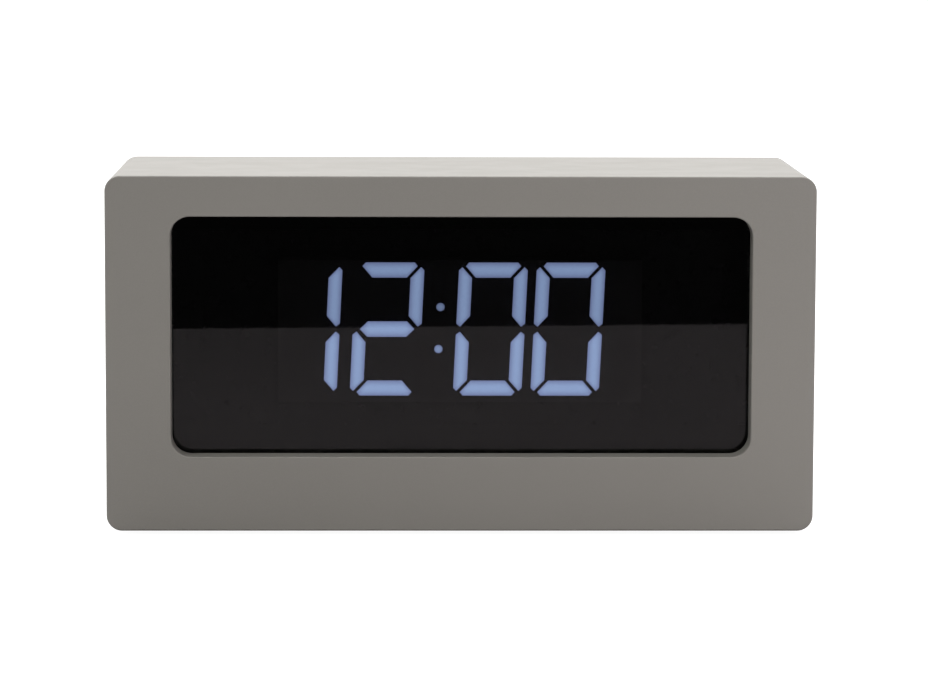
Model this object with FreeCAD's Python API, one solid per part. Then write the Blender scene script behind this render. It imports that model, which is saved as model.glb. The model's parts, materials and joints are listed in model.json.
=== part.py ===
import FreeCAD, Part
import math
import os

# Digital LED table alarm clock, in millimetres.
# The frame: +X to the viewer's right, +Y to the back, +Z up.
# The origin is on the table, under the middle of the case.

V = FreeCAD.Vector

# ---- driving dimensions -------------------------------------------------------------------

# case
CASE_WIDTH = 160.0
CASE_HEIGHT = 80.5
CASE_DEPTH = 64.0
FOOT_HEIGHT = 1.0
CORNER_RADIUS = 3.5
EDGE_ROUND = 0.4
WALL = 2.6
FRONT_WALL = 2.8
INNER_RADIUS = 1.2

# window in the front wall
WINDOW_WIDTH = 131.0
WINDOW_HEIGHT = 54.4
WINDOW_ABOVE_BASE = 16.9
WINDOW_MIDDLE_X = 0.15
WINDOW_RADIUS = 4.4
REVEAL_DEPTH = 6.5
TAPE_THICKNESS = 0.25
LENS_THICKNESS = 2.0
LENS_OVERLAP = 2.5

# display
DIGIT_HEIGHT = 30.48
DIGIT_WIDTH = 15.65
DIGIT_SLANT_DEG = 2.7
DIGIT_MIDDLE_Z = 46.0
DIGIT_X = (-35.2, -16.6, 6.9, 24.55)
DIGIT_GLYPHS = ("bc", "abdeg", "abcdef", "abcdef")
DIGIT_SEGMENTS = ("bc", "abcdefg", "abcdefg", "abcdefg")
BAR_THICKNESS = 3.48
UPRIGHT_THICKNESS = 3.07
MIDDLE_BAR_HALF = 1.78
COLON_X = -4.7
COLON_LIFT = 0.25
COLON_SPACING = 9.6
COLON_RADIUS = 0.96
INDICATOR_X = -36.7
INDICATOR_SPACING = 21.0
INDICATOR_RADIUS = 0.8
DISPLAY_WIDTH = 82.7
DISPLAY_HEIGHT = 32.5
DISPLAY_DEPTH = 8.0
DISPLAY_MIDDLE_Z = 45.5
DISPLAY_GAP = 0.4
SEGMENT_DEPTH = 2.0
BOARD_THICKNESS = 1.6
DISPLAY_BOARD_WIDTH = 151.6
DISPLAY_BOARD_HEIGHT = 45.0
DISPLAY_SCREW_X = 72.5
DISPLAY_SCREW_DZ = 17.0

# rear cover
COVER_RECESS = 1.8
COVER_THICKNESS = 2.2
COVER_CLEARANCE = 0.15
COVER_SCREW_X = 72.4
COVER_SCREW_Z = (8.4, 74.1)
COVER_SCREW_LENGTH = 12.3
POST_RADIUS = 3.2
PILOT_RADIUS = 1.27
SCREW_RADIUS = 1.25
SCREW_HEAD_RADIUS = 2.6
WELL_RADIUS = 4.0
WELL_DEPTH = 4.7
MOUTH_CHAMFER = 0.25

# buttons and switch on the back
BUTTONS = (("time", -32.0), ("alarm", -18.0), ("plus", -4.0), ("minus", 10.0), ("light", 24.0))
BUTTON_Z = 66.0
BUTTON_RADIUS = 3.0
BUTTON_CLEARANCE = 0.3
BUTTON_PROUD = 1.2
BUTTON_TRAVEL = 0.6
BUTTON_FLANGE_RADIUS = 4.2
BUTTON_FLANGE_THICKNESS = 1.0
MARK_DEPTH = 0.25
SWITCH_X = 40.0
SWITCH_TRAVEL = 2.0
KNOB_WIDTH = 3.0
KNOB_HEIGHT = 2.6
KNOB_PROUD = 1.2

# main circuit board, an L on the inside of the rear cover
MAIN_BOARD_FROM_BACK = 12.0
MAIN_BOARD_LEFT = -42.0
MAIN_BOARD_RIGHT = 62.0
MAIN_BOARD_TOP = 75.0
MAIN_BOARD_STEP_X = 2.0
MAIN_BOARD_STEP_Z = 57.0
MAIN_BOARD_BOTTOM = 20.0
MAIN_SCREWS = ((-38.5, 61.0), (58.5, 71.5), (58.5, 23.5), (5.5, 23.5))
TACT_SIZE = 6.0
TACT_HEIGHT = 3.5
PLUNGER_RADIUS = 1.65
PLUNGER_HOLE_RADIUS = 1.75

# clock chip and the flat cable between the boards
CHIP_X = 33.0
CHIP_Z = 29.0
RIBBON_X = 24.0
RIBBON_WIDTH = 16.0
RIBBON_THICKNESS = 0.3
RIBBON_TOP = 51.0
RIBBON_BEND_Z = 48.0
SOCKET_HEIGHT = 2.5
SOCKET_TALL = 4.0

# power inlet and buzzer
INLET_X = 48.0
INLET_Z = 32.0
INLET_WIDTH = 8.94
INLET_HEIGHT = 3.2
INLET_WALL = 0.3
BUZZER_X = 26.0
BUZZER_Z = 41.0
BUZZER_RADIUS = 6.0
BUZZER_HEIGHT = 5.5

# battery bay for three AAA cells
CELL_RADIUS = 5.2
CELL_LENGTH = 44.5
CELL_NUB_LENGTH = 1.2
CELL_NUB_RADIUS = 1.9
CELL_PITCH = 11.2
BAY_LEFT = -64.5
BAY_RIGHT = -11.5
BAY_MIDDLE_Z = 31.0
BAY_HEIGHT = 34.2
BAY_FLOOR_FROM_BACK = 15.1
BAY_WALL = 1.4
CONTACT_THICKNESS = 0.4
CONTACT_HALF = 4.0
TAIL_HALF = 1.4
TAIL_REACH = 3.2
TAIL_SLOT = 1.6
DOOR_MARGIN = 1.5
DOOR_THICKNESS = 1.6
DOOR_GAP = 0.25
DOOR_TRAVEL = 6.5
HOOK_LENGTH = 6.0
HOOK_REACH = 1.3
HOOK_THICKNESS = 0.7

# battery wires
WIRE_DIAMETER = 1.2

# feet
FOOT_RADIUS = 5.0
FOOT_RECESS = 0.5
FOOT_X = 66.0
FOOT_Y = 20.0

# ---- levels worked out from them -----------------------------------------------------------

FRONT = -CASE_DEPTH / 2
BACK = CASE_DEPTH / 2
BASE = FOOT_HEIGHT
CASE_MIDDLE_Z = BASE + CASE_HEIGHT / 2
INNER_WIDTH = CASE_WIDTH - 2 * WALL
INNER_HEIGHT = CASE_HEIGHT - 2 * WALL
WINDOW_MIDDLE_Z = BASE + WINDOW_ABOVE_BASE + WINDOW_HEIGHT / 2
LENS_FRONT = FRONT + REVEAL_DEPTH
LENS_WIDTH = WINDOW_WIDTH + 2 * LENS_OVERLAP
LENS_HEIGHT = WINDOW_HEIGHT + 2 * LENS_OVERLAP
DISPLAY_FRONT = LENS_FRONT + LENS_THICKNESS + DISPLAY_GAP
DISPLAY_BACK = DISPLAY_FRONT + DISPLAY_DEPTH
DISPLAY_BOARD_BACK = DISPLAY_BACK + BOARD_THICKNESS
COVER_OUTER = BACK - COVER_RECESS
COVER_INNER = COVER_OUTER - COVER_THICKNESS
MAIN_BOARD_Y = BACK - MAIN_BOARD_FROM_BACK
MAIN_BOARD_BACK = MAIN_BOARD_Y + BOARD_THICKNESS
WELL_FLOOR = COVER_OUTER - WELL_DEPTH
WELL_SEAT = WELL_FLOOR + 1.8
COVER_SCREW_TIP = WELL_SEAT - COVER_SCREW_LENGTH
DOOR_SEAT = COVER_OUTER - DOOR_THICKNESS - 0.1
BAY_FLOOR_Y = BACK - BAY_FLOOR_FROM_BACK
DOOR_LEFT = BAY_LEFT - DOOR_MARGIN
DOOR_RIGHT = BAY_RIGHT + DOOR_MARGIN
DOOR_HALF_HEIGHT = BAY_HEIGHT / 2 + DOOR_MARGIN
CELL_Y = BAY_FLOOR_Y + CELL_RADIUS + 0.2
CELL_Z = [BAY_MIDDLE_Z + step * CELL_PITCH for step in (-1, 0, 1)]
CELL_DIRECTIONS = (1, -1, 1)
TAIL_Y = CELL_Y - CONTACT_THICKNESS / 2
HOOK_STARTS = (DOOR_LEFT + 5.0, DOOR_RIGHT - 17.0)


# ---- basic solids --------------------------------------------------------------------------

def box(x0, x1, y0, y1, z0, z1):
    return Part.makeBox(x1 - x0, y1 - y0, z1 - z0, V(x0, y0, z0))


def rod_y(x, z, radius, y0, y1):
    return Part.makeCylinder(radius, y1 - y0, V(x, y0, z), V(0, 1, 0))


def rod_x(y, z, radius, x0, x1):
    return Part.makeCylinder(radius, x1 - x0, V(x0, y, z), V(1, 0, 0))


def rounded_outline(width, height, radius, cx, cz, y):
    """A closed wire in a plane of constant Y: a rectangle with four round corners."""
    hw = width / 2
    hh = height / 2
    slant = radius * (1 - math.sqrt(0.5))
    edges = []
    corners = ((1, -1), (1, 1), (-1, 1), (-1, -1))
    for index, (sx, sz) in enumerate(corners):
        side = V(cx + sx * hw, y, cz + sz * (hh - radius))
        level = V(cx + sx * (hw - radius), y, cz + sz * hh)
        middle = V(cx + sx * (hw - slant), y, cz + sz * (hh - slant))
        start, end = (level, side) if index % 2 == 0 else (side, level)
        edges.append(Part.Arc(start, middle, end).toShape())
        nx, nz = corners[(index + 1) % 4]
        if index % 2 == 0:
            following = V(cx + nx * hw, y, cz + nz * (hh - radius))
        else:
            following = V(cx + nx * (hw - radius), y, cz + nz * hh)
        if end.distanceToPoint(following) > 1e-6:
            edges.append(Part.makeLine(end, following))
    return Part.Wire(edges)


def rounded_plate(width, height, radius, cx, cz, y0, y1):
    face = Part.Face(rounded_outline(width, height, radius, cx, cz, y0))
    return face.extrude(V(0, y1 - y0, 0))


def polygon_plate(points, y0, y1):
    """A plate between two planes of constant Y, with its outline as (x, z) points."""
    corners = [V(x, y0, z) for x, z in points]
    corners.append(corners[0])
    return Part.Face(Part.makePolygon(corners)).extrude(V(0, y1 - y0, 0))


def fuse(solids):
    solids = list(solids)
    if len(solids) == 1:
        return solids[0]
    return solids[0].fuse(solids[1:]).removeSplitter()


def cut(solid, tools):
    tools = list(tools)
    if not tools:
        return solid
    return solid.cut(tools[0] if len(tools) == 1 else tools[0].fuse(tools[1:]))


def round_edges_at(solid, y, radius):
    """Rounds every edge that lies wholly in the plane of this Y."""
    edges = []
    for edge in solid.Edges:
        limits = edge.BoundBox
        if abs(limits.YMin - y) < 1e-4 and abs(limits.YMax - y) < 1e-4:
            edges.append(edge)
    return solid.makeFillet(radius, edges)


def screw(x, z, head_y, tip_y, head_radius, head_height):
    """A pan-head screw along Y, with its head on the side away from its tip, and a cross slot."""
    sign = 1 if head_y > tip_y else -1
    axis = V(0, sign, 0)
    head = Part.makeCylinder(head_radius, head_height, V(x, head_y, z), axis)
    rim = [edge for edge in head.Edges if abs(edge.BoundBox.YMin - head_y - sign * head_height) < 1e-4
           and edge.BoundBox.YLength < 1e-4]
    head = head.makeFillet(head_height * 0.45, rim)
    shank = Part.makeCylinder(SCREW_RADIUS, abs(head_y - tip_y), V(x, tip_y, z), axis)
    slot_bottom = head_y + sign * head_height * 0.45
    slot_top = head_y + sign * (head_height + 1.0)
    low = min(slot_bottom, slot_top)
    high = max(slot_bottom, slot_top)
    reach = head_radius * 0.62
    half = head_radius * 0.11
    slots = [box(x - reach, x + reach, low, high, z - half, z + half),
             box(x - half, x + half, low, high, z - reach, z + reach)]
    return cut(fuse([head, shank]), slots)


# ---- case, lens and feet -------------------------------------------------------------------

def case_shell():
    shell = rounded_plate(CASE_WIDTH, CASE_HEIGHT, CORNER_RADIUS, 0, CASE_MIDDLE_Z, FRONT, BACK)
    shell = round_edges_at(shell, FRONT, EDGE_ROUND)
    shell = round_edges_at(shell, BACK, EDGE_ROUND)
    cavity = rounded_plate(INNER_WIDTH, INNER_HEIGHT, INNER_RADIUS, 0, CASE_MIDDLE_Z,
                           FRONT + FRONT_WALL, BACK + 1)
    shell = shell.cut(cavity)
    lip_end = LENS_FRONT - TAPE_THICKNESS
    lip = rounded_plate(LENS_WIDTH, LENS_HEIGHT, WINDOW_RADIUS + LENS_OVERLAP,
                        WINDOW_MIDDLE_X, WINDOW_MIDDLE_Z, FRONT + FRONT_WALL - 0.5, lip_end)
    inside = FRONT + FRONT_WALL - 0.5
    additions = [lip]
    for sx in (-1, 1):
        wall_x = sx * (INNER_WIDTH / 2 + 0.5)
        for z in COVER_SCREW_Z:
            x = sx * COVER_SCREW_X
            additions.append(rod_y(x, z, POST_RADIUS, inside, WELL_FLOOR))
            additions.append(box(min(x, wall_x), max(x, wall_x), inside, WELL_FLOOR - 2, z - 0.8, z + 0.8))
        for sz in (-1, 1):
            x = sx * DISPLAY_SCREW_X
            z = DISPLAY_MIDDLE_Z + sz * DISPLAY_SCREW_DZ
            additions.append(rod_y(x, z, 2.7, inside, DISPLAY_BACK))
            additions.append(box(min(x, wall_x), max(x, wall_x), inside, DISPLAY_BACK - 2, z - 0.8, z + 0.8))
    shell = fuse([shell] + additions)
    window = rounded_plate(WINDOW_WIDTH, WINDOW_HEIGHT, WINDOW_RADIUS,
                           WINDOW_MIDDLE_X, WINDOW_MIDDLE_Z, FRONT - 1, lip_end + 1)
    holes = [window]
    for sx in (-1, 1):
        for z in COVER_SCREW_Z:
            holes.append(rod_y(sx * COVER_SCREW_X, z, PILOT_RADIUS, COVER_SCREW_TIP - 3, WELL_FLOOR + 1))
        for sz in (-1, 1):
            z = DISPLAY_MIDDLE_Z + sz * DISPLAY_SCREW_DZ
            holes.append(rod_y(sx * DISPLAY_SCREW_X, z, PILOT_RADIUS, DISPLAY_BACK - 8, DISPLAY_BACK + 1))
        for sy in (-1, 1):
            start = V(sx * FOOT_X, sy * FOOT_Y, BASE - 1)
            holes.append(Part.makeCylinder(FOOT_RADIUS + 0.1, 1 + FOOT_RECESS, start))
    shell = cut(shell, holes)
    return soften_window(shell)


def soften_window(shell):
    """A small round on the front edge of the window."""
    edges = []
    for edge in shell.Edges:
        limits = edge.BoundBox
        flat = abs(limits.YMin - FRONT) < 1e-4 and abs(limits.YMax - FRONT) < 1e-4
        within = abs(limits.Center.x - WINDOW_MIDDLE_X) <= WINDOW_WIDTH / 2 + 0.01
        level = abs(limits.Center.z - WINDOW_MIDDLE_Z) <= WINDOW_HEIGHT / 2 + 0.01
        if flat and within and level:
            edges.append(edge)
    return shell.makeFillet(0.3, edges)


def window_lens():
    return rounded_plate(LENS_WIDTH, LENS_HEIGHT, WINDOW_RADIUS + LENS_OVERLAP,
                         WINDOW_MIDDLE_X, WINDOW_MIDDLE_Z, LENS_FRONT, LENS_FRONT + LENS_THICKNESS)


def lens_tape():
    margin = 0.2
    ring = rounded_plate(LENS_WIDTH - 2 * margin, LENS_HEIGHT - 2 * margin,
                         WINDOW_RADIUS + LENS_OVERLAP - margin, WINDOW_MIDDLE_X, WINDOW_MIDDLE_Z,
                         LENS_FRONT - TAPE_THICKNESS, LENS_FRONT)
    hole = rounded_plate(WINDOW_WIDTH + 2 * margin, WINDOW_HEIGHT + 2 * margin, WINDOW_RADIUS + margin,
                         WINDOW_MIDDLE_X, WINDOW_MIDDLE_Z, LENS_FRONT - 1, LENS_FRONT + 1)
    return ring.cut(hole)


def rubber_feet():
    feet = []
    for sx in (-1, 1):
        for sy in (-1, 1):
            foot = Part.makeCylinder(FOOT_RADIUS, FOOT_HEIGHT + FOOT_RECESS, V(sx * FOOT_X, sy * FOOT_Y, 0))
            rim = [edge for edge in foot.Edges if edge.BoundBox.ZMax < 1e-4]
            feet.append(foot.makeFillet(0.35, rim))
    return Part.makeCompound(feet)


# ---- seven-segment display -----------------------------------------------------------------

def upright_points():
    """Segment b before slanting, from the middle of the digit, as (x, z) points."""
    w = DIGIT_WIDTH / 2
    h = DIGIT_HEIGHT / 2
    inner = w - UPRIGHT_THICKNESS
    return [(w, h - 1.8), (w - 0.75, h - 1.05), (inner, h - 3.55),
            (inner, 3.0), (w - 0.9, 0.55), (w, 1.25)]


def bar_points():
    """Segment a before slanting, from the middle of the digit, as (x, z) points."""
    w = DIGIT_WIDTH / 2
    h = DIGIT_HEIGHT / 2
    top = w - 2.25
    shoulder = w - 1.55
    bottom = w - 0.43 - BAR_THICKNESS
    return [(-top, h), (top, h), (shoulder, h - 0.85), (bottom, h - BAR_THICKNESS),
            (-bottom, h - BAR_THICKNESS), (-shoulder, h - 0.85)]


def middle_points():
    """Segment g, from the middle of the digit, as (x, z) points."""
    tip = DIGIT_WIDTH / 2 - 1.6
    flat = tip - MIDDLE_BAR_HALF
    t = MIDDLE_BAR_HALF
    return [(tip, 0), (flat, t), (-flat, t), (-tip, 0), (-flat, -t), (flat, -t)]


def segment_points(name):
    """One of the segments a to g, clockwise from the top, then the middle bar."""
    if name == "g":
        return middle_points()
    source = bar_points() if name in "ad" else upright_points()
    sx = -1 if name in "ef" else 1
    sz = -1 if name in "cde" else 1
    return [(sx * x, sz * z) for x, z in source]


def slanted(points, digit_x):
    lean = math.tan(math.radians(DIGIT_SLANT_DEG))
    return [(digit_x + x + lean * z, DIGIT_MIDDLE_Z + z) for x, z in points]


def segment(digit, name, y0, y1):
    return polygon_plate(slanted(segment_points(name), DIGIT_X[digit]), y0, y1)


def dot_places(x, spacing, lift=0.0):
    lean = math.tan(math.radians(DIGIT_SLANT_DEG))
    half = spacing / 2
    return [(x + lean * dz, DIGIT_MIDDLE_Z + lift + dz) for dz in (-half, half)]


def colon_places():
    return dot_places(COLON_X, COLON_SPACING, COLON_LIFT)


def indicator_places():
    return dot_places(INDICATOR_X, INDICATOR_SPACING)


def lit_digit(digit):
    back = DISPLAY_FRONT + SEGMENT_DEPTH
    return Part.makeCompound([segment(digit, name, DISPLAY_FRONT, back) for name in DIGIT_GLYPHS[digit]])


def unlit_segments():
    back = DISPLAY_FRONT + SEGMENT_DEPTH
    solids = []
    for digit, names in enumerate(DIGIT_SEGMENTS):
        for name in names:
            if name not in DIGIT_GLYPHS[digit]:
                solids.append(segment(digit, name, DISPLAY_FRONT, back))
    return Part.makeCompound(solids)


def dots(places, radius):
    back = DISPLAY_FRONT + SEGMENT_DEPTH
    return Part.makeCompound([rod_y(x, z, radius, DISPLAY_FRONT, back) for x, z in places])


def colon_dots():
    return dots(colon_places(), COLON_RADIUS)


def indicator_dots():
    return dots(indicator_places(), INDICATOR_RADIUS)


def display_housing():
    """The reflector block, with an open cell behind every segment and dot."""
    block = box(-DISPLAY_WIDTH / 2, DISPLAY_WIDTH / 2, DISPLAY_FRONT, DISPLAY_BACK,
                DISPLAY_MIDDLE_Z - DISPLAY_HEIGHT / 2, DISPLAY_MIDDLE_Z + DISPLAY_HEIGHT / 2)
    start = DISPLAY_FRONT - 1
    end = DISPLAY_BACK + 1
    cells = []
    for digit, names in enumerate(DIGIT_SEGMENTS):
        cells.extend(segment(digit, name, start, end) for name in names)
    for x, z in colon_places():
        cells.append(rod_y(x, z, COLON_RADIUS, start, end))
    for x, z in indicator_places():
        cells.append(rod_y(x, z, INDICATOR_RADIUS, start, end))
    return block.cut(Part.makeCompound(cells))


def display_board():
    half = DISPLAY_BOARD_WIDTH / 2
    low = DISPLAY_MIDDLE_Z - DISPLAY_BOARD_HEIGHT / 2
    board = box(-half, half, DISPLAY_BACK, DISPLAY_BOARD_BACK, low, low + DISPLAY_BOARD_HEIGHT)
    holes = []
    for sx in (-1, 1):
        for sz in (-1, 1):
            z = DISPLAY_MIDDLE_Z + sz * DISPLAY_SCREW_DZ
            holes.append(rod_y(sx * DISPLAY_SCREW_X, z, 1.5, DISPLAY_BACK - 1, DISPLAY_BOARD_BACK + 1))
    return cut(board, holes)


def display_leds():
    """A surface-mount LED on the board in the middle of every cell."""
    places = []
    for digit, names in enumerate(DIGIT_SEGMENTS):
        for name in names:
            outline = slanted(segment_points(name), DIGIT_X[digit])
            places.append((sum(x for x, z in outline) / len(outline),
                           sum(z for x, z in outline) / len(outline), name in "adg"))
    chips = []
    for x, z, lying in places:
        half_x, half_z = (1.0, 0.6) if lying else (0.6, 1.0)
        chips.append(box(x - half_x, x + half_x, DISPLAY_BACK - 0.8, DISPLAY_BACK, z - half_z, z + half_z))
    for x, z in colon_places() + indicator_places():
        chips.append(box(x - 0.5, x + 0.5, DISPLAY_BACK - 0.6, DISPLAY_BACK, z - 0.3, z + 0.3))
    return Part.makeCompound(chips)


def display_screws():
    screws = []
    for sx in (-1, 1):
        for sz in (-1, 1):
            z = DISPLAY_MIDDLE_Z + sz * DISPLAY_SCREW_DZ
            screws.append(screw(sx * DISPLAY_SCREW_X, z, DISPLAY_BOARD_BACK, DISPLAY_BACK - 6, 2.4, 1.6))
    return Part.makeCompound(screws)


# ---- rear cover ----------------------------------------------------------------------------

def rear_cover():
    width = INNER_WIDTH - 2 * COVER_CLEARANCE
    height = INNER_HEIGHT - 2 * COVER_CLEARANCE
    plate = rounded_plate(width, height, INNER_RADIUS - COVER_CLEARANCE, 0, CASE_MIDDLE_Z,
                          COVER_INNER, COVER_OUTER)
    cover = fuse([plate] + cover_posts() + [battery_tub()])
    return cut(cover, cover_holes() + door_recess() + button_holes())


def cover_posts():
    posts = []
    for sx in (-1, 1):
        for z in COVER_SCREW_Z:
            posts.append(rod_y(sx * COVER_SCREW_X, z, WELL_RADIUS, WELL_FLOOR, COVER_INNER + 0.5))
    for x, z in MAIN_SCREWS:
        posts.append(rod_y(x, z, 2.7, MAIN_BOARD_BACK, COVER_INNER + 0.5))
    return posts


def chamfered_mouth(x, z, radius):
    """A small cone that breaks the edge of a round hole in the cover's outer face."""
    start = V(x, COVER_OUTER - MOUTH_CHAMFER, z)
    return Part.makeCone(radius, radius + 2 * MOUTH_CHAMFER, 2 * MOUTH_CHAMFER, start, V(0, 1, 0))


def cover_holes():
    holes = []
    for sx in (-1, 1):
        for z in COVER_SCREW_Z:
            x = sx * COVER_SCREW_X
            holes.append(rod_y(x, z, SCREW_HEAD_RADIUS + 0.3, WELL_SEAT, COVER_OUTER + 1))
            holes.append(chamfered_mouth(x, z, SCREW_HEAD_RADIUS + 0.3))
            holes.append(rod_y(x, z, 1.6, WELL_FLOOR - 1, WELL_SEAT + 0.5))
    for x, z in MAIN_SCREWS:
        holes.append(rod_y(x, z, PILOT_RADIUS, MAIN_BOARD_BACK - 1, COVER_INNER + 0.8))
    gap = 0.35
    inlet = rounded_plate(INLET_WIDTH + 2 * gap, INLET_HEIGHT + 2 * gap, INLET_HEIGHT / 2 + gap - 0.01,
                          INLET_X, INLET_Z, COVER_INNER - 1, COVER_OUTER + 1)
    holes.append(inlet)
    holes.append(rod_y(BUZZER_X, BUZZER_Z, 0.8, COVER_INNER - 1, COVER_OUTER + 1))
    for step in range(6):
        angle = math.radians(60 * step)
        x = BUZZER_X + 3.4 * math.cos(angle)
        z = BUZZER_Z + 3.4 * math.sin(angle)
        holes.append(rod_y(x, z, 0.8, COVER_INNER - 1, COVER_OUTER + 1))
    return holes


def battery_tub():
    """The moulded tray behind the cover, still without its door recess."""
    pad_inner = COVER_INNER - 1.2
    half = BAY_HEIGHT / 2
    x0 = BAY_LEFT - BAY_WALL
    x1 = BAY_RIGHT + BAY_WALL
    z0 = BAY_MIDDLE_Z - half - BAY_WALL
    z1 = BAY_MIDDLE_Z + half + BAY_WALL
    tray = box(x0, x1, BAY_FLOOR_Y - BAY_WALL, COVER_INNER + 0.5, z0, z1)
    margin = 3.2
    door_half = DOOR_HALF_HEIGHT + margin
    pad = box(DOOR_LEFT - margin, DOOR_RIGHT + DOOR_TRAVEL + margin, pad_inner, COVER_INNER + 0.5,
              BAY_MIDDLE_Z - door_half, BAY_MIDDLE_Z + door_half)
    return fuse([tray, pad])


def door_recess():
    """Everything cut away for the cells, the contacts' tails, the door and its hooks."""
    half = BAY_HEIGHT / 2
    bay = box(BAY_LEFT, BAY_RIGHT, BAY_FLOOR_Y, COVER_OUTER + 1, BAY_MIDDLE_Z - half, BAY_MIDDLE_Z + half)
    recess_half = DOOR_HALF_HEIGHT + DOOR_GAP
    recess = box(DOOR_LEFT - DOOR_GAP, DOOR_RIGHT + DOOR_TRAVEL + DOOR_GAP, DOOR_SEAT, COVER_OUTER + 1,
                 BAY_MIDDLE_Z - recess_half, BAY_MIDDLE_Z + recess_half)
    tools = [bay, recess]
    reach = HOOK_REACH + 0.3
    for start in HOOK_STARTS:
        for side in (-1, 1):
            edge = BAY_MIDDLE_Z + side * DOOR_HALF_HEIGHT
            low = min(edge, edge + side * reach)
            high = max(edge, edge + side * reach)
            tools.append(box(start - 0.3, start + HOOK_LENGTH + DOOR_TRAVEL + 0.3, DOOR_SEAT,
                             DOOR_SEAT + HOOK_THICKNESS + 0.25, low, high))
            tools.append(box(start + DOOR_TRAVEL - 0.3, start + HOOK_LENGTH + DOOR_TRAVEL + 0.3, DOOR_SEAT,
                             COVER_OUTER + 1, low, high))
    tail_slots = ((BAY_LEFT - 2, BAY_LEFT + 0.1, CELL_Z[2]), (BAY_RIGHT - 0.1, BAY_RIGHT + 2, CELL_Z[0]))
    for x0, x1, z in tail_slots:
        tools.append(box(x0, x1, CELL_Y - TAIL_SLOT, CELL_Y + TAIL_SLOT, z - TAIL_SLOT, z + TAIL_SLOT))
    return tools


def button_holes():
    holes = []
    for _, x in BUTTONS:
        radius = BUTTON_RADIUS + BUTTON_CLEARANCE
        holes.append(rod_y(x, BUTTON_Z, radius, COVER_INNER - 1, COVER_OUTER + 1))
        holes.append(chamfered_mouth(x, BUTTON_Z, radius))
    slot_half = KNOB_WIDTH / 2 + 0.4
    holes.append(box(SWITCH_X - slot_half, SWITCH_X + SWITCH_TRAVEL + slot_half,
                     COVER_INNER - 1, COVER_OUTER + 1,
                     BUTTON_Z - KNOB_HEIGHT / 2 - 0.3, BUTTON_Z + KNOB_HEIGHT / 2 + 0.3))
    return holes


def cover_screws():
    screws = []
    for sx in (-1, 1):
        for z in COVER_SCREW_Z:
            screws.append(screw(sx * COVER_SCREW_X, z, WELL_SEAT, COVER_SCREW_TIP, SCREW_HEAD_RADIUS, 1.7))
    return Part.makeCompound(screws)


# ---- buttons and alarm switch --------------------------------------------------------------

def button_mark(name, x):
    """The symbol sunk into a button's end."""
    bottom = COVER_OUTER + BUTTON_PROUD - MARK_DEPTH
    top = bottom + 1.0
    z = BUTTON_Z
    line = 0.22
    if name == "plus":
        return [box(x - 1.5, x + 1.5, bottom, top, z - line, z + line),
                box(x - line, x + line, bottom, top, z - 1.5, z + 1.5)]
    if name == "minus":
        return [box(x - 1.5, x + 1.5, bottom, top, z - line, z + line)]
    if name == "time":
        ring = rod_y(x, z, 1.7, bottom, top).cut(rod_y(x, z, 1.35, bottom - 1, top + 1))
        return [ring, box(x - 0.15, x + 0.15, bottom, top, z - 0.15, z + 1.05),
                box(x - 0.85, x + 0.15, bottom, top, z - 0.15, z + 0.15)]
    if name == "alarm":
        dome = rod_y(x, z + 0.2, 1.1, bottom, top).common(box(x - 2, x + 2, bottom, top, z + 0.2, z + 2))
        return [dome, box(x - 1.1, x + 1.1, bottom, top, z - 0.7, z + 0.25),
                box(x - 1.6, x + 1.6, bottom, top, z - 0.95, z - 0.6),
                rod_y(x, z - 1.35, 0.3, bottom, top)]
    rays = [rod_y(x, z, 0.75, bottom, top)]
    for step in range(8):
        ray = box(x + 1.1, x + 1.75, bottom, top, z - 0.13, z + 0.13)
        ray.rotate(V(x, 0, z), V(0, 1, 0), 45 * step)
        rays.append(ray)
    return rays


def button_cap(name, x):
    outer = COVER_OUTER + BUTTON_PROUD
    flange_top = COVER_INNER - 0.1
    flange_bottom = flange_top - BUTTON_FLANGE_THICKNESS
    cap = rod_y(x, BUTTON_Z, BUTTON_RADIUS, flange_bottom, outer)
    cap = round_edges_at(cap, outer, 0.45)
    flange = rod_y(x, BUTTON_Z, BUTTON_FLANGE_RADIUS, flange_bottom, flange_top)
    return cut(fuse([cap, flange]), button_mark(name, x))


def button_plunger(x):
    flange_bottom = COVER_INNER - 0.1 - BUTTON_FLANGE_THICKNESS
    return rod_y(x, BUTTON_Z, PLUNGER_RADIUS, MAIN_BOARD_BACK + 1.5, flange_bottom)


def tact_switches():
    half = TACT_SIZE / 2
    bodies = []
    for _, x in BUTTONS:
        body = box(x - half, x + half, MAIN_BOARD_BACK, MAIN_BOARD_BACK + TACT_HEIGHT,
                   BUTTON_Z - half, BUTTON_Z + half)
        bore = rod_y(x, BUTTON_Z, PLUNGER_HOLE_RADIUS, MAIN_BOARD_BACK + 0.7,
                     MAIN_BOARD_BACK + TACT_HEIGHT + 1)
        legs = []
        for sx in (-1, 1):
            for sz in (-1, 1):
                leg_x = x + sx * 2.25
                leg_z = BUTTON_Z + sz * 3.6
                legs.append(box(leg_x - 0.35, leg_x + 0.35, MAIN_BOARD_BACK, MAIN_BOARD_BACK + 0.3,
                                leg_z - 0.7, leg_z + 0.7))
        bodies.append(fuse([body.cut(bore)] + legs))
    return Part.makeCompound(bodies)


def slide_switch_body():
    x0 = SWITCH_X - 3.6
    x1 = SWITCH_X + SWITCH_TRAVEL + 3.6
    top = MAIN_BOARD_BACK + 4.0
    body = box(x0, x1, MAIN_BOARD_BACK, top, BUTTON_Z - 2.4, BUTTON_Z + 2.4)
    track = box(SWITCH_X - 1.5, SWITCH_X + SWITCH_TRAVEL + 1.5, MAIN_BOARD_BACK + 1.2, top + 1,
                BUTTON_Z - 1.3, BUTTON_Z + 1.3)
    return body.cut(track)


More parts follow.
